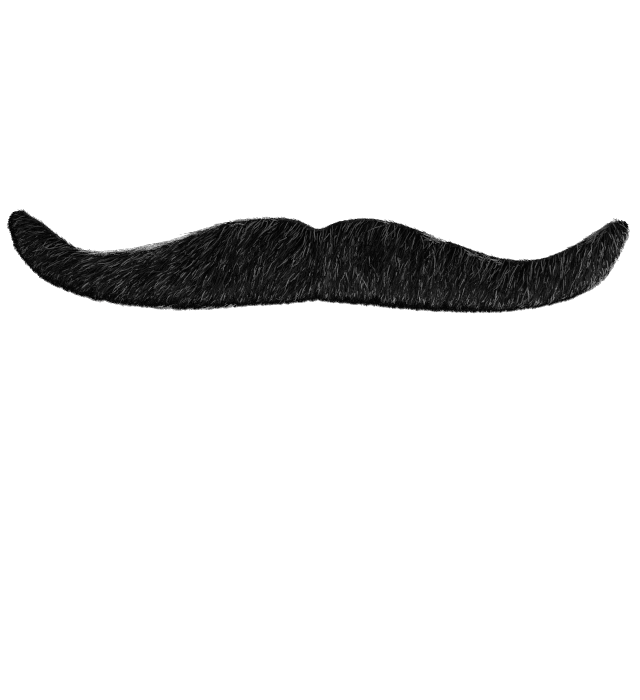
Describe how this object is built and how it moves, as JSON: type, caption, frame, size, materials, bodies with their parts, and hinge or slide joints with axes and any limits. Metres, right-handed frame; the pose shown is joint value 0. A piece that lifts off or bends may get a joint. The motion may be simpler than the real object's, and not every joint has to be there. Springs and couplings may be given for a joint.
{
  "type": "false moustache",
  "caption": "Black false moustache of long-pile fur fabric, with two wings that turn up at their tips, hair combed down over the cloth, and a sticky strip on the back that holds it on a lip.",
  "frame": {"origin": "on the sticky face, in the middle of the bridge that goes under the nose", "axes": "+X along the moustache to the tip on the right as seen from the front, +Y up the face, +Z out of the face, through the hair"},
  "size_m": [0.1555, 0.025, 0.0069],
  "materials": {
    "black_fur": "combed long-pile acrylic fur on a knitted ground, black with single glinting hairs",
    "sticky_strip": "cream double-sided tape, faintly crinkled"
  },
  "bodies": {
    "root": {"fur": "black_fur", "adhesive_strip": "sticky_strip"}
  },
  "joints": []
}
